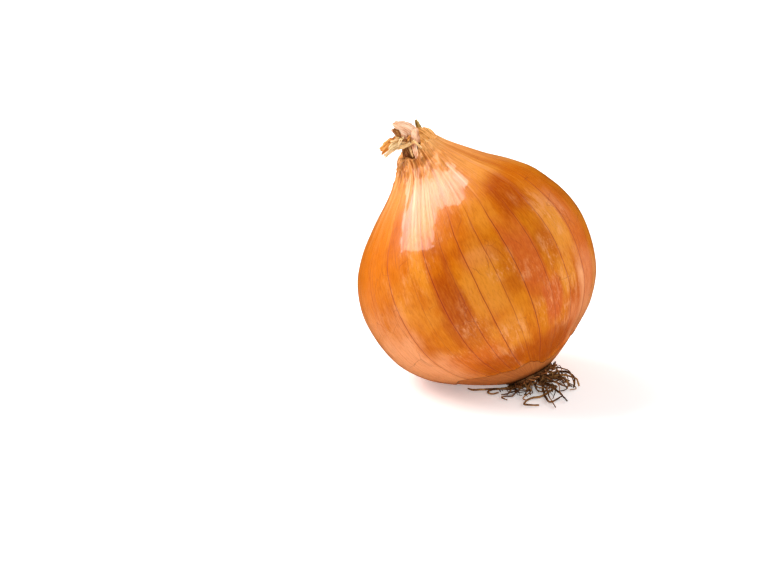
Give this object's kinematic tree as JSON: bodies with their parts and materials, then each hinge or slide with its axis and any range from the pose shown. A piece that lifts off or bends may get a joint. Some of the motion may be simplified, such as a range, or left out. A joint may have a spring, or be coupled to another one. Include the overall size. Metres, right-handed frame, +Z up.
{
  "type": "onion",
  "caption": "Round yellow onion, tapered to a dry papery neck and to a tuft of thin roots, lying tilted on a small flat spot.",
  "frame": {"origin": "middle of the small flat spot that the onion lies on", "axes": "+Z up, with the onion resting on a surface at Z 0; the neck leans towards -X and, less, towards +Y; the side shown in the picture faces -Y"},
  "size_m": [0.0809, 0.0824, 0.0895],
  "materials": {
    "onion_skin": "thin dry papery skin, satin to glossy, golden orange with darker veins",
    "dry_leaf": "matt, straw to pinkish tan, fibrous",
    "dry_root": "matt, dark brown, stringy"
  },
  "bodies": {
    "root": {"bulb": "onion_skin", "dry_neck": "dry_leaf", "roots": "dry_root"}
  },
  "joints": []
}
